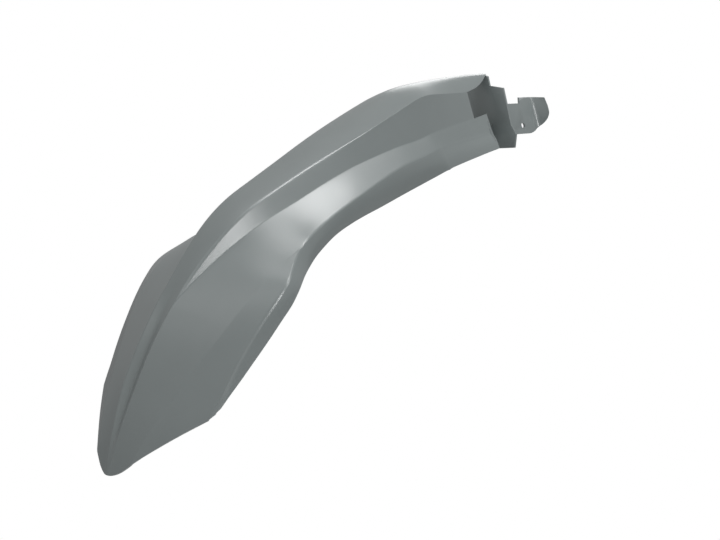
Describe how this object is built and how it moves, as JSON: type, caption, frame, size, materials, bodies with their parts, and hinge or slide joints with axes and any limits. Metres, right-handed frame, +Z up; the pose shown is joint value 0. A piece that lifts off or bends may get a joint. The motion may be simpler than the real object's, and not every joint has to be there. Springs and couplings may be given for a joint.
{
  "type": "motorcycle front mudguard",
  "caption": "Long creased front mudguard for an off-road motorcycle, with a raised spine, down-turned side lips, a pointed nose and a flat pad that bolts up under the lower fork clamp.",
  "frame": {"origin": "centre of the four clamp bolts, on the top face of the clamp pad", "axes": "+X forward along the guard, +Y to the rider's left, +Z up along the steering axis"},
  "size_m": [0.6636, 0.2368, 0.4018],
  "materials": {
    "grey_plastic": "satin moulded polypropylene, plain grey"
  },
  "bodies": {
    "root": {"front_mudguard": "grey_plastic"}
  },
  "joints": []
}
